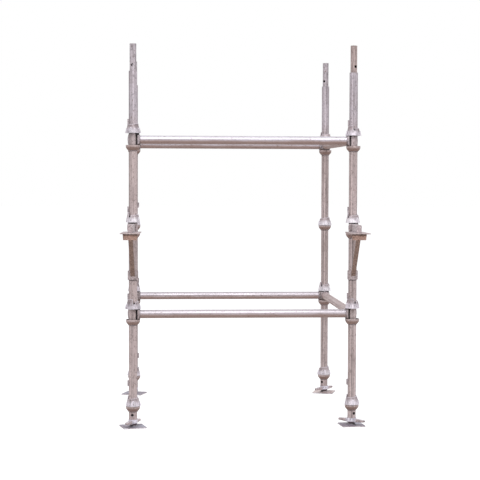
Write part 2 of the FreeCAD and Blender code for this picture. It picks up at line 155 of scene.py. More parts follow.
def grained(tree, place, grain, scale, power):
    """A place scaled along the grain of a piece. The power says how closely a pattern follows the grain."""
    scales = tuple(scale * share ** power for share in grain)
    return add(tree, "ShaderNodeMapping", {"vector_type": "POINT"}, Vector=place, Scale=scales).outputs[0]


print("noise and cells ready")

# %% Surface maps
# All scales are per metre.
SEED_STEPS = (1.0, 0.7, 1.3)  # how far a seed shifts the patterns along X, Y and Z
PATCH_SCALE, BLOTCH_SCALE = 9.0, 75.0
STREAK_SCALE, LINE_SCALE, SPECK_SCALE = 95.0, 130.0, 150.0
SPANGLE_SCALE, FRECKLE_SCALE, WORN_SCALE = 95.0, 42.0, 3.1
FRECKLE_BAND, WORN_BAND = (0.22, 0.06), (0.54, 0.64)
# Leaning this normal upwards lets the painted shade reach undersides as well as crevices.
SKY_LEAN = 0.6  # how far the normal that looks for crevices leans upwards
NOOK_DISTANCE = 0.020  # how near a neighbour has to be to make a crevice


def surface_maps(tree, seed, grain):
    """Position, direction and noise patterns of a surface, as sockets by name."""
    coordinates = add(tree, "ShaderNodeTexCoord").outputs
    place = vector_of(tree, "ADD", coordinates["Object"], tuple(seed * step for step in SEED_STEPS))
    x, y, z = add(tree, "ShaderNodeSeparateXYZ", Vector=coordinates["Object"]).outputs
    folded_x, folded_y = (math_of(tree, "PINGPONG", value, BAY / 2) for value in (x, y))
    spoke = add(tree, "ShaderNodeCombineXYZ", X=folded_x, Y=folded_y).outputs[0]
    normal = add(tree, "ShaderNodeNewGeometry").outputs["Normal"]
    skyward = vector_of(tree, "NORMALIZE", vector_of(tree, "ADD", normal, (0.0, 0.0, SKY_LEAN)))
    occlusion = add(tree, "ShaderNodeAmbientOcclusion", {"samples": 8}, Distance=NOOK_DISTANCE,
                    Normal=skyward)
    spangle = add(tree, "ShaderNodeSeparateColor", Color=cells_of(tree, place, SPANGLE_SCALE)["Color"])
    freckles = cells_of(tree, place, FRECKLE_SCALE)["Distance"]
    return SimpleNamespace(
        place=place,
        normal=normal,
        across=math_of(tree, "SUBTRACT", x, y),
        height=z,
        seam=math_of(tree, "PINGPONG", math_of(tree, "SUBTRACT", z, RIMS[0]), CUP_PITCH),
        reach=vector_of(tree, "LENGTH", spoke),
        facing=add(tree, "ShaderNodeSeparateXYZ", Vector=coordinates["Normal"]).outputs[2],
        openness=occlusion.outputs["AO"],
        patches=noise_of(tree, place, PATCH_SCALE, 4.0),
        blotches=noise_of(tree, place, BLOTCH_SCALE),
        streaks=noise_of(tree, grained(tree, place, grain, STREAK_SCALE, 1.0), 1.0, 3.0, 0.6),
        lines=noise_of(tree, grained(tree, place, grain, LINE_SCALE, 2.0), 1.0, 1.0),
        specks=noise_of(tree, grained(tree, place, grain, SPECK_SCALE, 0.3), 1.0, 2.0),
        spangle=spangle.outputs[0],
        freckles=ramp_of(tree, freckles, *FRECKLE_BAND),
        worn=ramp_of(tree, noise_of(tree, place, WORN_SCALE), *WORN_BAND),
    )


print("surface maps ready")

# %% [markdown]
# ## Old zinc
# Hot-dip galvanising leaves a grey skin with a faint spangle. Years outside add pale and dark lines along
# each tube, brown specks, brown water stains on the undersides, and small rust freckles where the zinc is
# knocked through. The undersides also get painted shade in the same brown, and faces that look up get
# painted light. A single colour with noise over it would look like paint. So the skin is built up in the
# order in which
# it came about: the zinc itself, then dust with painted top light, stains with painted underside shade, and
# rust, then worn edges with painted highlights, then grime with painted shade.

# %% The zinc itself
DARKER, PALER = (0.50, 0.52), (1.35, 1.42)  # as shares of a piece's tints low and high


def shade(tint, factor):
    return tuple(min(1.0, channel * factor) for channel in tint[:3]) + (1.0,)


def bare_zinc(tree, maps, low, high, share, contrast):
    """Tint from low to high with the lines, streaks and blotches that run through the zinc itself."""
    tint = mixed(tree, share, low, high)
    darker, paler = (
        mixed(tree, share, shade(low, at_low), shade(high, at_high)) for at_low, at_high in (DARKER, PALER)
    )
    for pattern, start, end, strength, towards in (
        (maps.patches, 0.45, 0.70, 0.30, darker),
        (maps.lines, 0.47, 0.30, 0.85, darker),
        (maps.lines, 0.53, 0.70, 0.90, paler),
        (maps.streaks, 0.52, 0.70, 0.60, paler),
        (maps.streaks, 0.46, 0.30, 0.60, darker),
        (maps.blotches, 0.53, 0.70, 0.55, darker),
        (maps.spangle, 0.0, 1.0, 0.15, paler),
    ):
        marked = ramp_of(tree, pattern, start, end, 0.0, min(1.0, strength * contrast))
        tint = mixed(tree, marked, tint, towards)
    return tint


print("bare zinc ready")

# %% Dust and stains, with painted top light and painted underside shade
CROWN_BAND = (0.70, 0.95)
PATCH_BAND = (0.62, 0.82)


def dust_and_sheen_map(tree, maps, dust_and_sheen_slopes, crown):
    """Dust and painted top light on what faces up. A crown above 0 wipes it off the very top again."""
    settled = ramp_of(tree, maps.facing, dust_and_sheen_slopes[0], dust_and_sheen_slopes[1], 0.0, dust_and_sheen_slopes[2])
    return math_of(tree, "MULTIPLY", settled, ramp_of(tree, maps.facing, *CROWN_BAND, 1.0, 1.0 - crown))


def stain_and_shade_map(tree, maps, dirt, underside_shade):
    """How much stain and painted shade lies on a point: brown painted shade on the undersides first, then
    stain in patches where a piece is dirty.
    """
    uneven = math_of(tree, "MULTIPLY", math_of(tree, "SUBTRACT", maps.patches, 0.5), 0.5)
    down = math_of(tree, "SUBTRACT", uneven, maps.facing)
    patch_start, patch_end = (edge - 0.5 * dirt for edge in PATCH_BAND)
    patchy = ramp_of(tree, maps.patches, patch_start, patch_end, 0.0, dirt)
    return math_of(tree, "MAXIMUM", ramp_of(tree, down, *underside_shade), patchy)


print("dust and stains ready")

# %% Worn edges and grime, with painted highlights and painted shade
EDGE_BAND = (0.99, 0.90)
BORE_EDGE = 0.0004  # depth over which the painted shade inside a tube sets in


def edge_wear_and_glint_map(tree, maps, wear_and_glint):
    """Pale metal and painted highlight on outer edges, where a blunted normal differs from the true one."""
    radius, strength = wear_and_glint
    blunt = add(tree, "ShaderNodeBevel", {"samples": 8}, Radius=radius).outputs[0]
    return ramp_of(tree, vector_of(tree, "DOT_PRODUCT", blunt, maps.normal), *EDGE_BAND, 0.0, strength)


def grime_and_shade_map(tree, maps, nook, grime_and_shade, seam, shaded_bore):
    """Grime and painted shade in crevices and on undersides, painted shadow in the gap at a cup's rim, and
    painted shade inside a tube.
    """
    shade_and_grime = ramp_of(tree, maps.openness, *nook, 0.0, grime_and_shade)
    if seam:
        shade_and_grime = math_of(tree, "MAXIMUM", shade_and_grime, ramp_of(tree, maps.seam, *seam))
    if shaded_bore:
        shade_and_grime = math_of(tree, "MAXIMUM", shade_and_grime, ramp_of(tree, maps.reach, shaded_bore, shaded_bore - BORE_EDGE))
    return shade_and_grime


print("edges and grime ready")

# %% Relief
EDGE_RADIUS = 0.0016
RELIEF_DEPTH = 0.0016
SMOOTH_RELIEF, CAST_RELIEF = 0.22, 0.35
LUMP_SCALE, CAST_SCALE, GRIT_SCALE = 55.0, 130.0, 420.0
LUMP_SHARE, GRIT_SHARE = 0.6, 0.25


def relief_of(tree, maps, cast):
    """Normal with soft edges, lumps and grit. cast runs from 0, a smooth tube, to 1, a rough casting."""
    lumps = math_of(tree, "MULTIPLY", noise_of(tree, maps.place, LUMP_SCALE + CAST_SCALE * cast), LUMP_SHARE)
    grit = math_of(tree, "MULTIPLY", noise_of(tree, maps.place, GRIT_SCALE, 2.0), GRIT_SHARE)
    edge = add(tree, "ShaderNodeBevel", {"samples": 4}, Radius=EDGE_RADIUS)
    bump = add(tree, "ShaderNodeBump", Height=math_of(tree, "ADD", lumps, grit), Distance=RELIEF_DEPTH,
               Strength=SMOOTH_RELIEF + CAST_RELIEF * cast, Normal=edge.outputs[0])
    return bump.outputs[0]


print("relief ready")

# %% [markdown]
# One function makes every finish, because the pieces differ only in tint, grain and how dirty they are.
# `low` and `high` are a piece's tints at the two ends of a `band` along one of the maps. The next two
# colours are its stain, also the brown painted shade of its undersides, and its dust, also painted light on
# what faces up. Further settings say on which slopes these lie, where grime and painted shade fill crevices,
# seams and bores, and how wide and how bright the worn edges with their painted highlights are.

# %% The zinc finish
RUST, SPECK = colour(112, 70, 48), colour(112, 86, 74)
# The pale colour is dust and worn metal, and also painted light on up-facing faces and painted highlights on
# edges. The near-black one is grime, and also painted shade in crevices, under rims and inside tubes.
PALE_DUST_AND_SHEEN, GRIME_AND_SHADE = colour(242, 236, 244), colour(20, 16, 15)
SPECK_BAND = (0.60, 0.70)
STREAK_ROUGHNESS = (0.35, 0.7, 0.10, -0.08)
STAIN_DULLNESS = 0.8
DULL_METAL = 0.2  # share of the metal that shows where the skin is dull
DULL_ROUGHNESS = 0.22


def zinc(name, low, high, stain_and_shade, dust_and_sheen, along="height", band=(0.2, 2.0), grain=(1.0, 1.0, 1.0), contrast=1.0,
         dirt=0.0, rust=0.35, specks=0.25, cast=0.0, metal=0.5, rough=0.45, seed=0.0,
         dust_and_sheen_slopes=(0.05, 0.70, 0.85), crown=0.0, underside_shade=(-0.05, 0.55, 0.0, 0.9), shaded_bore=None, nook=(0.72, 0.34),
         grime_and_shade=0.94, seam=None, wear_and_glint=None):
    """Weathered zinc as a material, with painted light and shade mixed into its colour."""
    material, tree = blank_material(name)
    maps = surface_maps(tree, seed, grain)
    tint = bare_zinc(tree, maps, low, high, ramp_of(tree, getattr(maps, along), *band), contrast)
    # Painted top light: faces that look up are lightened together with the dust.
    tint = mixed(tree, dust_and_sheen_map(tree, maps, dust_and_sheen_slopes, crown), tint, dust_and_sheen)
    # Painted shade: undersides darken to a brown that stands for shade and for the brown ground's
    # reflection, over real stains in patches.
    stained_and_shaded = stain_and_shade_map(tree, maps, dirt, underside_shade)
    tint = mixed(tree, stained_and_shaded, tint, stain_and_shade)
    tint = mixed(tree, ramp_of(tree, maps.specks, *SPECK_BAND, 0.0, specks), tint, SPECK)
    rusted = math_of(tree, "MULTIPLY", math_of(tree, "MULTIPLY", maps.freckles, maps.worn), rust)
    tint = mixed(tree, rusted, tint, RUST)
    # Painted highlights: outer edges are lightened as if they caught the light, together with the worn
    # metal.
    if wear_and_glint:
        tint = mixed(tree, edge_wear_and_glint_map(tree, maps, wear_and_glint), tint, PALE_DUST_AND_SHEEN)
    # Painted shade: crevices, undersides beside other parts, the gap under a cup's rim and a tube's inside
    # go nearly black, along with grime.
    shade_and_grime = grime_and_shade_map(tree, maps, nook, grime_and_shade, seam, shaded_bore)
    tint = mixed(tree, shade_and_grime, tint, GRIME_AND_SHADE)

    dull = math_of(tree, "MAXIMUM", math_of(tree, "MULTIPLY", stained_and_shaded, STAIN_DULLNESS), rusted)
    dull = math_of(tree, "MAXIMUM", dull, shade_and_grime)
    metallic = ramp_of(tree, dull, 0.0, 1.0, metal, metal * DULL_METAL)
    roughness = math_of(tree, "ADD", rough, ramp_of(tree, maps.streaks, *STREAK_ROUGHNESS))
    roughness = math_of(tree, "ADD", roughness, math_of(tree, "MULTIPLY", dull, DULL_ROUGHNESS), True)
    shader = add(tree, "ShaderNodeBsdfPrincipled", Base_Color=tint, Metallic=metallic, Roughness=roughness,
                 Normal=relief_of(tree, maps, cast))
    add(tree, "ShaderNodeOutputMaterial", Surface=shader.outputs[0])
    return material


print("zinc ready")

# %% [markdown]
# ## One finish for each kind of piece
# One zinc over everything would make the bay look cast in one go. Each kind of piece was dipped on its own,
# so each has its own recipe. Tubes are streaked along their length, so each direction has its own grain.
# Ledgers carry a pale band of dust and painted top light along the upper side, and brown stain and painted
# shade below. The inside of a standard or a spigot is painted black as shade.

# %% Tubes
SPIGOT_R = 0.019
BORE_START = 0.0003  # outer face of a tube to where the painted shade inside it begins
ALONG_X, ALONG_Y, ALONG_Z = (0.04, 1.0, 1.0), (1.0, 0.04, 1.0), (1.0, 1.0, 0.04)
# The stain colour also serves as the brown painted shade on undersides.
STAIN_AND_SHADE = colour(168, 142, 134)
# Standards and spigots: their insides are painted dark as shade.
standard_zinc = zinc(
    "standard_zinc", colour(193, 177, 176), colour(192, 183, 190), STAIN_AND_SHADE, PALE_DUST_AND_SHEEN, band=(1.55, 1.85),
    grain=ALONG_Z, contrast=1.3, specks=0.6, metal=0.3, rough=0.55, shaded_bore=TUBE_R - BORE_START,
    nook=(0.66, 0.40))
spigot_zinc = zinc(
    "spigot_zinc", colour(191, 182, 188), colour(187, 169, 166), STAIN_AND_SHADE, PALE_DUST_AND_SHEEN, along="across",
    band=(BAY / 2, BAY), grain=(1.0, 1.0, 0.15), contrast=1.5, specks=0.8, rust=0.9, seed=5.1, metal=0.3,
    rough=0.55, shaded_bore=SPIGOT_R - BORE_START)
# Ledger: dust and painted top light along the upper side, stain and brown painted shade below.
ledger_zinc = zinc(
    "ledger_zinc", colour(184, 174, 179), colour(194, 190, 200), colour(172, 146, 138), PALE_DUST_AND_SHEEN, grain=ALONG_X,
    seed=2.3, specks=0.5, dust_and_sheen_slopes=(0.15, 0.45, 0.5), crown=0.75, underside_shade=(-0.30, 0.50, 0.0, 0.95), rough=0.36)
transom_zinc = zinc(
    "transom_zinc", colour(186, 166, 163), colour(190, 173, 173), STAIN_AND_SHADE, colour(200, 182, 182),
    grain=ALONG_Y, seed=3.7, dust_and_sheen_slopes=(0.10, 0.80, 0.6))
print("tube finishes:", [m.name for m in (standard_zinc, spigot_zinc, ledger_zinc, transom_zinc)])

# %% [markdown]
# Bottom cups are pressed from sheet and brown. Blades are forged. Each kind has a dark seam of painted
# shadow under a top cup. It could be a mesh of its own, but the map of heights folded at each cup places it
# on two levels at once.

# %% Bottom cups, blades and welds
BLADE_TOP = CUP_PITCH - SEAT  # rim of a closed top cup on the folded map
# The seam in these finishes is painted shadow in the gap under a top cup's rim.
pressed_zinc = zinc(
    "pressed_cup_zinc", colour(156, 133, 125), colour(184, 167, 165), colour(158, 131, 122),
    colour(196, 184, 186), along="reach", band=(0.029, 0.040), dirt=0.3, cast=0.3, rough=0.5, seed=11.0,
    seam=(0.0030, 0.0012, 0.0, 0.7), grime_and_shade=0.8)
forged_zinc = zinc(
    "forged_blade_zinc", colour(180, 166, 166), colour(188, 177, 181), colour(130, 106, 98),
    colour(208, 200, 206), rust=0.5, cast=0.5, seed=23.0, dust_and_sheen_slopes=(0.3, 0.9, 0.4), nook=(0.74, 0.40),
    seam=(BLADE_TOP + 0.006, BLADE_TOP + 0.0035, 0.0, 0.95))
weld_zinc = zinc(
    "weld_zinc", colour(182, 170, 173), colour(184, 173, 177), colour(156, 140, 141), colour(212, 205, 212),
    rust=0.7, cast=0.4, rough=0.5, seed=41.0, nook=(0.55, 0.20), grime_and_shade=0.5)
print("joint finishes:", [m.name for m in (pressed_zinc, forged_zinc, weld_zinc)])

# %% [markdown]
# Top cups are rough castings, painted brighter towards the rim as light falls on it, and worn pale with
# painted highlights on the edges. No two have weathered alike, so some have a finish of their own: the same
# recipe, with its tints made lighter or darker.

# %% Top cups
CAST_LOW, CAST_HIGH = colour(166, 152, 155), colour(214, 206, 214)
CUP_LIFTS = {
    "front_left_upper": 0.88, "front_left_middle": 1.15, "front_left_lower": 0.85,
    "front_right_middle": 1.28, "back_right_upper": 1.25, "back_right_middle": 1.12,
    "back_right_lower": 1.15, "back_right_foot": 1.12,
}


def cast_finish(name, lift):
    """Finish of a top cup. A lift above 1 makes a cleaner casting."""
    # The tint brightens from the collar towards the rim as painted light.
    return zinc(
        name, shade(CAST_LOW, lift), shade(CAST_HIGH, lift), colour(120, 98, 92), colour(240, 236, 244),
        along="reach", band=(0.0320, 0.0395), grain=(1.0, 1.0, 0.2), rust=0.5, specks=0.4, cast=0.5,
        seed=17.0, dust_and_sheen_slopes=(0.30, 0.80, 0.8), underside_shade=(0.2, 0.7, 0.0, 0.9), nook=(0.64, 0.26), grime_and_shade=0.65,
        wear_and_glint=(0.006, 0.9))


cast_zinc = cast_finish("cast_cup_zinc", 1.0)
own_cast_zinc = {
    "top_cup_" + place: cast_finish("cast_cup_zinc_" + place, lift) for place, lift in CUP_LIFTS.items()
}
print("cast finishes:", 1 + len(own_cast_zinc))

# %% [markdown]
# Brackets are welded from plate and box tube and are the brownest pieces, brown from rust and from a painted
# reflection of brown ground. The deck is grey on top and brown below. The strut is grey only where it meets
# the standard, which its distance from the axis can tell.

# %% Brackets
BRACKET_RIM = RIMS[2]
BRACKET_SEAT = 0.056  # like SEAT, but a bracket's blade is shorter
# The arm's seam is painted shadow under the rim of its top cup.
arm_zinc = zinc(
    "bracket_arm_zinc", colour(190, 176, 177), colour(192, 179, 181), colour(148, 123, 115),
    colour(206, 195, 198), dirt=0.2, rust=0.6, cast=0.2, metal=0.4, rough=0.5, seed=27.0,
    seam=(BRACKET_SEAT - 0.0055, BRACKET_SEAT - 0.003, 0.0, 0.95))
# The deck's brown below is rust together with a painted reflection of brown ground.
plate_zinc = zinc(
    "bracket_plate_zinc", colour(204, 170, 156), colour(186, 168, 166), colour(146, 116, 104),
    colour(204, 190, 192), band=(BRACKET_RIM - 0.002, BRACKET_RIM + 0.004), dirt=0.12, rust=0.6, cast=0.2,
    metal=0.35, rough=0.52, seed=29.0)
# The strut's brown is rust together with a painted reflection of brown ground.
strut_zinc = zinc(
    "bracket_strut_zinc", colour(188, 173, 174), colour(142, 117, 106), colour(126, 102, 92),
    colour(190, 176, 176), along="reach", band=(0.0308, 0.0316), dirt=0.2, rust=0.8, specks=0.5, cast=0.2,
    metal=0.35, rough=0.52, seed=30.0, underside_shade=(0.75, 0.95, 0.0, 0.8))
print("bracket finishes:", [m.name for m in (arm_zinc, plate_zinc, strut_zinc)])

# %% [markdown]
# A base plate takes the colour of the dust that it stands in, grey on most plates and tan on one, so the
# recipe takes the dust as a value. The wing nut is a bright rough casting whose hub is painted brighter
# still as a highlight, and the screw is painted dark with shade inside its tube.


# %% Jacks
def foot_finish(name, dust_and_sheen):
    """Finish of a base plate, with the dust of the ground that it stands on."""
    bare = colour(228, 221, 228)
    return zinc(
        name, bare, bare, colour(122, 90, 98), dust_and_sheen, dirt=0.46, rust=0.9, cast=0.2, rough=0.42, seed=31.0,
        contrast=1.2, underside_shade=(0.2, 0.7, 0.0, 0.5))


jack_zinc = foot_finish("jack_plate_zinc", colour(166, 165, 183))
tan_jack_zinc = foot_finish("tan_jack_plate_zinc", colour(232, 212, 208))
# The screw is painted nearly black with shade where it sits inside its tube.
screw_zinc = zinc(
    "jack_screw_zinc", colour(176, 164, 165), colour(182, 171, 173), colour(120, 96, 90),
    colour(190, 180, 184), rust=0.1, cast=0.2, seed=33.0, nook=(0.60, 0.36), grime_and_shade=0.98)
# The hub of the wing nut is painted bright as a highlight, and the wings are darker.
nut_zinc = zinc(
    "wing_nut_zinc", colour(212, 207, 217), colour(180, 165, 166), colour(100, 80, 78),
    colour(238, 233, 241), along="reach", band=(0.030, 0.042), rust=0.5, specks=0.35, cast=0.8, seed=37.0,
    dust_and_sheen_slopes=(0.15, 0.65, 0.8), metal=0.6, rough=0.30, contrast=1.4)
print("jack finishes:", [m.name for m in (jack_zinc, tan_jack_zinc, screw_zinc, nut_zinc)])

# %% [markdown]
# ## From names to finishes
# Each solid gets one finish. They could be set one by one, but the names of the solids already say what they
# are, so two short tables match the start or the end of a name. An entry for a single piece stands before
# the one for its kind, because the first match counts.

# %% Put the finishes on the solids
FINISH_BY_START = {
    "standard_tube": standard_zinc, "spigots": spigot_zinc, "ledger": ledger_zinc, "transom": transom_zinc,
    "bottom_cups": pressed_zinc, "locking_bars": weld_zinc, **own_cast_zinc, "top_cup": cast_zinc,
    "wing_nut": nut_zinc, "jack_screw": screw_zinc, "base_plate_back_right": tan_jack_zinc,
    "base_plate": jack_zinc,
}
FINISH_BY_END = {"blades": forged_zinc, "arm": arm_zinc, "deck": plate_zinc, "strut": strut_zinc}


def finish_of(name):
    """Finish of a solid. The end of its name comes first, because a ledger's blades are not a ledger."""
    end = name.split("_")[-1]
    if end in FINISH_BY_END:
        return FINISH_BY_END[end]
    return next(finish for start, finish in FINISH_BY_START.items() if name.startswith(start))


for name, solid in nodes.items():
    solid.data.materials.clear()
    solid.data.materials.append(finish_of(name))
print(len(nodes), "solids finished")

# %% [markdown]
# ## Weld beads
# Each cup, bar and blade is welded on by hand, and the weld shows as a row of small overlapping ripples. A
# swept tube with bump would look smooth from the side. So a mesh of bare edges holds every weld's path, and
# one Geometry Nodes tree sets a ball every few millimetres along it, each stretched a little differently.
# The result is turned into a plain mesh at the end.


# %% Start and end of a tree
def new_tree(name, inputs):
    """Geometry Nodes tree with a geometry output and named number inputs."""
    tree = bpy.data.node_groups.new(name, "GeometryNodeTree")
    tree.interface.new_socket("Geometry", in_out="INPUT", socket_type="NodeSocketGeometry")
    for label, (kind, value) in inputs.items():
        tree.interface.new_socket(label, in_out="INPUT", socket_type=kind).default_value = value
    tree.interface.new_socket("Geometry", in_out="OUTPUT", socket_type="NodeSocketGeometry")
    return tree, tree.nodes.new("NodeGroupInput").outputs


def close_tree(tree, instances, material):
    """Ends a tree: real geometry in place of instances, smooth, with its material."""
    whole = add(tree, "GeometryNodeRealizeInstances", Geometry=instances)
    smooth = add(tree, "GeometryNodeSetShadeSmooth", Geometry=whole.outputs[0])
    painted = add(tree, "GeometryNodeSetMaterial", Geometry=smooth.outputs[0], Material=material)
    add(tree, "NodeGroupOutput", _0=painted.outputs[0])


print("tree helpers ready")


# %% From a tree to a plain mesh
def in_scene(name, data):
    """New object in the scene's own collection."""
    made = bpy.data.objects.new(name, data)
    bpy.context.scene.collection.objects.link(made)
    return made


def made_plain(source, tree, name, **inputs):
    """Runs a tree on a mesh object and returns the result as a plain mesh object of that name."""
    modifier = source.modifiers.new(tree.name, "NODES")
    modifier.node_group = tree
    for item in tree.interface.items_tree:
        if item.in_out == "INPUT" and item.name in inputs:
            modifier[item.identifier] = inputs[item.name]
    bpy.context.view_layer.update()
    evaluated = source.evaluated_get(bpy.context.evaluated_depsgraph_get())
    mesh = bpy.data.meshes.new_from_object(evaluated)
    source.modifiers.remove(modifier)
    bpy.data.objects.remove(source)
    return in_scene(name, mesh)


print("mesh helpers ready")

# %% The weld tree
RIPPLE_SMALLEST, RIPPLE_LARGEST = (0.72, 0.72, 0.72), (1.18, 1.18, 1.18)


def weld_tree(material):
    tree, given = new_tree("weld_ripples", {
        "Ripple spacing": ("NodeSocketFloat", 0.0035),
        "Ripple radius": ("NodeSocketFloat", 0.003),
        "Seed": ("NodeSocketInt", 4),
    })
    path = add(tree, "GeometryNodeMeshToCurve", Mesh=given["Geometry"])
    spots = add(tree, "GeometryNodeCurveToPoints", {"mode": "LENGTH"}, Curve=path.outputs[0],
                Length=given["Ripple spacing"])
    ball = add(tree, "GeometryNodeMeshUVSphere", Segments=8, Rings=5, Radius=given["Ripple radius"])
    size = add(tree, "FunctionNodeRandomValue", {"data_type": "FLOAT_VECTOR"}, _0=RIPPLE_SMALLEST,
               _1=RIPPLE_LARGEST, Seed=given["Seed"])
    beads = add(tree, "GeometryNodeInstanceOnPoints", Points=spots.outputs["Points"],
                Instance=ball.outputs["Mesh"], Rotation=spots.outputs["Rotation"], Scale=size.outputs[0])
    close_tree(tree, beads.outputs[0], material)
    return tree


weld_ripples = weld_tree(weld_zinc)
print("weld tree has", len(weld_ripples.nodes), "nodes")

# %% Paths for welds
LOOP_GAP = 0.012  # a path whose ends are nearer than this is closed


def path_object(name, paths):
    """Mesh of bare edges through lists of points. A path whose ends meet is a loop."""
    points, edges = [], []
    for path in paths:
        start = len(points)
        points += path
        edges += [(i, i + 1) for i in range(start, len(points) - 1)]
        if (Vector(path[0]) - Vector(path[-1])).length < LOOP_GAP:
            edges.append((len(points) - 1, start))
    mesh = bpy.data.meshes.new(name)
    mesh.from_pydata(points, edges, [])
    return in_scene(name, mesh)


def circle(centre, axis, radius, steps=24):
    """Points round a centre, square to an axis."""
    turn = Vector((0, 0, 1)).rotation_difference(Vector(axis))
    return [
        tuple(Vector(centre) + turn @ Vector((radius * math.cos(a), radius * math.sin(a), 0)))
        for a in (math.tau * step / steps for step in range(steps))
    ]


print("weld paths ready")

# %% Places beside a standard
# Each standard's place, and the direction of its locking bars in degrees.
CORNERS = {
    "front_left": (0.0, 0.0, 180.0),
    "front_right": (BAY, 0.0, 180.0),
    "back_left": (0.0, BAY, 0.0),
    "back_right": (BAY, BAY, 90.0),
}


def polar(corner, angle, radius, side=0.0):
    """Point beside a standard: out along an angle, then sideways to its left."""
    x, y = CORNERS[corner][:2]
    turn = math.radians(angle)
    out, left = (math.cos(turn), math.sin(turn)), (-math.sin(turn), math.cos(turn))
    return x + radius * out[0] + side * left[0], y + radius * out[1] + side * left[1]


print(len(CORNERS), "standards")

# %% [markdown]
# Welds lie in the corner between two pieces, half sunk in both. A ring runs round the tube under each bottom
# cup, and a bar has a weld up either side. That one starts well above the bar's lower end, where the turning
# top cup would rub on it.

# %% Welds on the standards
CUP_HEIGHT = 0.030
CUP_WELD_DROP = 0.0005  # below the foot of a bottom cup
CUP_WELD_OUT = 0.0016  # outside the tube
BAR_FOOT = 0.115  # rim of a bottom cup to the lower end of the bar above it
BAR_LENGTH = 0.034
BAR_WIDTH = 0.010
BAR_WELD_SINK = 0.0005  # inside the tube's face
BAR_WELD_OUT = 0.0008  # beside the bar
BAR_WELD_ENDS = (0.0155, BAR_LENGTH - 0.003)  # above the lower end of the bar
cup_welds, bar_welds = [], []
for corner, (x, y, bar_angle) in CORNERS.items():
    for rim in RIMS:
        ring_z = rim - CUP_HEIGHT - CUP_WELD_DROP
        cup_welds.append(circle((x, y, ring_z), (0, 0, 1), TUBE_R + CUP_WELD_OUT))
        for side in (-1, 1):
            beside = side * (BAR_WIDTH / 2 + BAR_WELD_OUT)
            px, py = polar(corner, bar_angle, TUBE_R - BAR_WELD_SINK, beside)
            bar_welds.append([(px, py, rim + BAR_FOOT + height) for height in BAR_WELD_ENDS])
print(len(cup_welds), "cup welds and", len(bar_welds), "bar welds")

# %% [markdown]
# A ledger's tube is welded to its blade all round, so that weld is a ring square to the tube. Ledgers and
# transoms could have a loop each, but one serves both, because it takes the direction from the two standards
# at the ends.

# %% Welds on the ledgers
SPANS = {
    "ledger_front": ("front_left", "front_right"),
    "ledger_back": ("back_left", "back_right"),
    "transom_left": ("front_left", "back_left"),
    "transom_right": ("front_right", "back_right"),
}
LEDGER_RIMS = (RIMS[1], RIMS[3])
BLADE_OUTER = 0.03595  # axis of a standard to the outer face of a blade
BLADE_WELD_OUT = 0.0022  # outside both the blade and the tube
blade_welds = []
for first, second in SPANS.values():
    start, end = Vector((*CORNERS[first][:2], 0)), Vector((*CORNERS[second][:2], 0))
    along = (end - start).normalized()
    inset = along * (BLADE_OUTER + BLADE_WELD_OUT)
    for rim in LEDGER_RIMS:
        lift = Vector((0, 0, rim + SEAT / 2))
        for centre in (start + inset, end - inset):
            blade_welds.append(circle(centre + lift, along, TUBE_R + BLADE_WELD_OUT))
print(len(blade_welds), "blade welds")

# %% [markdown]
# A bracket has a weld along either side of its arm, one across the deck at the flange, and one round the
# root of the arm. Brackets point their own way from their standards, so all of these are placed by angle,
# reach and side instead of X and Y.

# %% Welds on the brackets
# Each bracket's standard, and the direction of its arm in degrees.
BRACKETS = {"bracket_left": ("front_left", -93.5), "bracket_right": ("front_right", -89.5)}
ARM_HALF = 0.014  # half the width of an arm
ARM_WELD_OUT = 0.0003  # beside the arm
ARM_WELD_ENDS, ARM_WELD_RISE = (0.048, 0.232), 0.0075
FLANGE_WELD_REACH, FLANGE_WELD_HALF, FLANGE_WELD_RISE = 0.2395, 0.036, 0.0015
ROOT_WELD_REACH, ROOT_LOW, ROOT_HIGH = 0.0368, 0.010, 0.047
ROOT_WELD = [
    (-ARM_HALF, ROOT_LOW), (ARM_HALF, ROOT_LOW), (ARM_HALF, ROOT_HIGH), (-ARM_HALF, ROOT_HIGH),
    (-ARM_HALF, ROOT_LOW),
]
bracket_welds = []
for corner, angle in BRACKETS.values():
    for side in (-ARM_HALF - ARM_WELD_OUT, ARM_HALF + ARM_WELD_OUT):
        ends = [polar(corner, angle, reach, side) for reach in ARM_WELD_ENDS]
        bracket_welds.append([(*end, BRACKET_RIM + ARM_WELD_RISE) for end in ends])
    sides = (-FLANGE_WELD_HALF, FLANGE_WELD_HALF)
    ends = [polar(corner, angle, FLANGE_WELD_REACH, side) for side in sides]
    bracket_welds.append([(*end, BRACKET_RIM + FLANGE_WELD_RISE) for end in ends])
    bracket_welds.append([
        (*polar(corner, angle, ROOT_WELD_REACH, side), BRACKET_RIM + up) for side, up in ROOT_WELD
    ])
print(len(bracket_welds), "bracket welds")

# %% [markdown]
# Every weld could be an object of its own, but one mesh for all welds of a kind is lighter. That works
# because standards, ledgers and brackets are one body, the frame. The weld between a screw and its base
# plate moves with the jack, so each foot has its own piece.


# %% Weld meshes
def weld_piece(name, paths, spacing, radius):
    source = path_object(name + "_path", paths)
    return made_plain(source, weld_ripples, name, **{"Ripple spacing": spacing, "Ripple radius": radius})


# Each weld's paths, the spacing of its ripples and their radius.
WELDS = {
    "cup_welds": (cup_welds, 0.0036, 0.0029),
    "bar_welds": (bar_welds, 0.0034, 0.0020),
    "blade_welds": (blade_welds, 0.0038, 0.0031),
    "bracket_welds": (bracket_welds, 0.0036, 0.0022),
}
for name, (paths, spacing, radius) in WELDS.items():
    piece = weld_piece(name, paths, spacing, radius)
    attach(piece, "frame")
    print(name, len(piece.data.polygons), "faces")

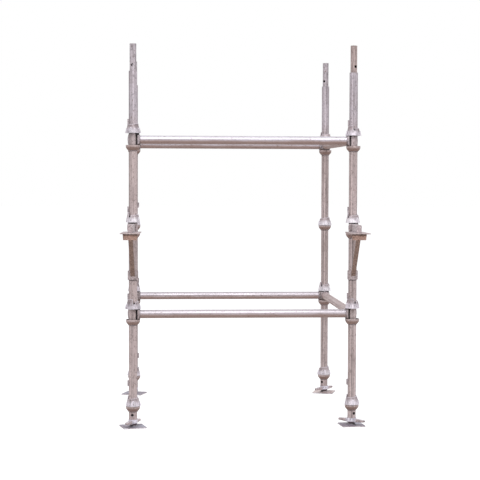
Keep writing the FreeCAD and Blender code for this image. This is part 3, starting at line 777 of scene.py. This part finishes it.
# %% Foot welds
PLATE_THICKNESS = 0.006
SCREW_R = 0.016
FOOT_WELD_RISE = 0.0028  # above the base plate
FOOT_WELD_OUT = 0.0032  # outside the screw
FOOT_RIPPLES = (0.0038, 0.0030)  # spacing and radius
for corner, (x, y, _) in CORNERS.items():
    path = circle((x, y, PLATE_THICKNESS + FOOT_WELD_RISE), (0, 0, 1), SCREW_R + FOOT_WELD_OUT)
    piece = weld_piece("foot_weld_" + corner, [path], *FOOT_RIPPLES)
    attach(piece, "jack_" + corner)
print("foot welds:", len(piece.data.polygons), "faces each")

# %% [markdown]
# ## Jack threads
# The CAD screw is a plain rod at the thread's outer size. The real one has a coarse rounded thread, which
# shows as soon as a jack is wound out. A bump could draw it, but its outline would stay straight. A spiral
# curve swept with a small round section over a thinner core gives the true outline, and the finished screw
# takes the rod's place on the same body.

# %% The thread tree
SCREW_LENGTH = 0.450
RIDGE_SINK = 1.08  # middle of the ridge under the outer size, as a share of the depth


def raised(tree, geometry, height):
    place = add(tree, "ShaderNodeCombineXYZ", Z=height).outputs[0]
    return add(tree, "GeometryNodeTransform", Geometry=geometry, Translation=place).outputs[0]


def thread_tree(material):
    tree, given = new_tree("jack_thread", {
        "Outer radius": ("NodeSocketFloat", SCREW_R),
        "Depth": ("NodeSocketFloat", 0.0024),
        "Pitch": ("NodeSocketFloat", 0.008),
        "Length": ("NodeSocketFloat", SCREW_LENGTH),
    })
    outer_r, depth, pitch, length = (given[label] for label in ("Outer radius", "Depth", "Pitch", "Length"))
    ridge_r = math_of(tree, "SUBTRACT", outer_r, math_of(tree, "MULTIPLY", depth, RIDGE_SINK))
    turns = math_of(tree, "DIVIDE", math_of(tree, "SUBTRACT", length, pitch), pitch)
    spiral = add(tree, "GeometryNodeCurveSpiral", Resolution=28, Rotations=turns, Start_Radius=ridge_r,
                 End_Radius=ridge_r, Height=math_of(tree, "MULTIPLY", turns, pitch))
    section = add(tree, "GeometryNodeCurvePrimitiveCircle", {"mode": "RADIUS"}, Resolution=8, Radius=depth)
    ridge = add(tree, "GeometryNodeCurveToMesh", Curve=spiral.outputs[0], Profile_Curve=section.outputs[0],
                Fill_Caps=True)
    core = add(tree, "GeometryNodeMeshCylinder", {"fill_type": "NGON"}, Vertices=32,
               Radius=math_of(tree, "SUBTRACT", outer_r, depth), Depth=length)
    joined = tree.nodes.new("GeometryNodeJoinGeometry")
    for geometry, height in ((ridge.outputs[0], pitch), (core.outputs["Mesh"], length)):
        half = math_of(tree, "MULTIPLY", height, 0.5)
        tree.links.new(raised(tree, geometry, half), joined.inputs[0])
    placed = add(tree, "GeometryNodeInstanceOnPoints", Points=given["Geometry"], Instance=joined.outputs[0])
    close_tree(tree, placed.outputs[0], material)
    return tree


jack_thread = thread_tree(screw_zinc)
print("thread tree has", len(jack_thread.nodes), "nodes")

# %% Threaded screws
for corner, (x, y, _) in CORNERS.items():
    mesh = bpy.data.meshes.new("screw_foot")
    mesh.from_pydata([(x, y, PLATE_THICKNESS)], [], [])
    screw = made_plain(in_scene("screw_foot", mesh), jack_thread, "threaded_screw_" + corner)
    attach(screw, "jack_" + corner)
    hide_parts("jack_screw_" + corner)
print("threads:", len(screw.data.polygons), "faces each")

# %% [markdown]
# ## Floor and light
# The photograph shows the bay cut out on white. A floor and a sky bright enough for that would wash the zinc
# out. So both are white where the camera sees them or the metal mirrors them, and softer in the light that
# they give. One wide lamp, high up on the camera's side of the bay, lays the pale band along the upper side
# of each ledger that zinc shows under an open sky.


# %% Floor
def seen_directly(tree):
    """1 for what the camera sees, by itself, in metal or through glass. 0 for light that falls on things."""
    path = add(tree, "ShaderNodeLightPath").outputs
    mirrored = math_of(tree, "MAXIMUM", path["Is Glossy Ray"], path["Is Transmission Ray"])
    return math_of(tree, "MAXIMUM", path["Is Camera Ray"], mirrored)


FLOOR_HALF = 60.0
FLOOR_LIT, FLOOR_SEEN = (0.54, 0.50, 0.47, 1.0), (0.86, 0.86, 0.86, 1.0)
FLOOR_GLOW = 0.6
floor_mesh = bpy.data.meshes.new("floor")
floor_corners = [(FLOOR_HALF * x, FLOOR_HALF * y, 0) for x, y in ((-1, -1), (1, -1), (1, 1), (-1, 1))]
floor_mesh.from_pydata(floor_corners, [], [(0, 1, 2, 3)])
floor = in_scene("floor", floor_mesh)
floor_white, tree = blank_material("floor_white")
seen = seen_directly(tree)
paint = add(tree, "ShaderNodeBsdfDiffuse", Color=mixed(tree, seen, FLOOR_LIT, FLOOR_SEEN))
glow = add(tree, "ShaderNodeEmission", Strength=math_of(tree, "MULTIPLY", seen, FLOOR_GLOW))
white = add(tree, "ShaderNodeAddShader", _0=paint.outputs[0], _1=glow.outputs[0])
add(tree, "ShaderNodeOutputMaterial", Surface=white.outputs[0])
floor_mesh.materials.append(floor_white)
print("floor", 2 * FLOOR_HALF, "m wide")

# %% Sky
SKY_LIT, SKY_SEEN = (0.54, 0.54, 0.56, 1.0), (1.0, 1.0, 1.0, 1.0)
world = bpy.data.worlds.new("white_sky")
bpy.context.scene.world = world
world.use_nodes = True
tree = world.node_tree
tree.nodes.clear()
background = add(tree, "ShaderNodeBackground", Color=mixed(tree, seen_directly(tree), SKY_LIT, SKY_SEEN))
add(tree, "ShaderNodeOutputWorld", Surface=background.outputs[0])
bpy.context.scene.view_settings.view_transform = "Standard"
print("sky ready")

# %% Lamp
PANEL_WIDTH, PANEL_HEIGHT = 9.0, 5.0
PANEL_POWER = 500.0  # watts
PANEL_AT, PANEL_AIM = Vector((0.6, -6.1, 8.9)), Vector((BAY / 2, BAY / 2, 1.1))
panel = bpy.data.lights.new("sky_panel", "AREA")
panel.shape = "RECTANGLE"
panel.size = PANEL_WIDTH
panel.size_y = PANEL_HEIGHT
panel.energy = PANEL_POWER
lamp = in_scene("sky_panel", panel)
lamp.location = PANEL_AT
lamp.rotation_mode = "QUATERNION"
lamp.rotation_quaternion = (PANEL_AIM - PANEL_AT).to_track_quat("-Z", "Y")
print("lamp", round((PANEL_AIM - PANEL_AT).length, 1), "m from the bay")

# %% [markdown]
# ## Camera
# The photograph's camera was found by matching the cup rims, tube ends and axes of three standards. It
# stands about eight metres off, a little above the middle of the bay, and is turned slightly to the right
# and down.

# %% Camera
CAMERA_AT = (0.0529, -8.1941, 1.4425)
YAW, PITCH_DOWN, ROLL = (math.radians(angle) for angle in (3.926, 2.526, 0.186))
FOCAL_PIXELS, IMAGE_PIXELS = 1426.1, 480
SENSOR = 36.0  # millimetres
FAR = 200.0  # metres beyond which nothing is drawn
UP = Vector((0, 0, 1))
camera_data = bpy.data.cameras.new("photo_camera")
camera_data.sensor_width = SENSOR
camera_data.lens = FOCAL_PIXELS / IMAGE_PIXELS * SENSOR
camera_data.clip_end = FAR
camera = in_scene("photo_camera", camera_data)
level_right = Vector((math.cos(YAW), -math.sin(YAW), 0))
level_ahead = Vector((math.sin(YAW), math.cos(YAW), 0))
ahead = level_ahead * math.cos(PITCH_DOWN) - UP * math.sin(PITCH_DOWN)
level_above = UP * math.cos(PITCH_DOWN) + level_ahead * math.sin(PITCH_DOWN)
right = level_right * math.cos(ROLL) + level_above * math.sin(ROLL)
above = level_above * math.cos(ROLL) - level_right * math.sin(ROLL)
turned = Matrix((right, above, -ahead)).transposed().to_4x4()
camera.matrix_world = Matrix.Translation(CAMERA_AT) @ turned
bpy.context.scene.camera = camera
print("lens", round(camera_data.lens, 1), "mm")
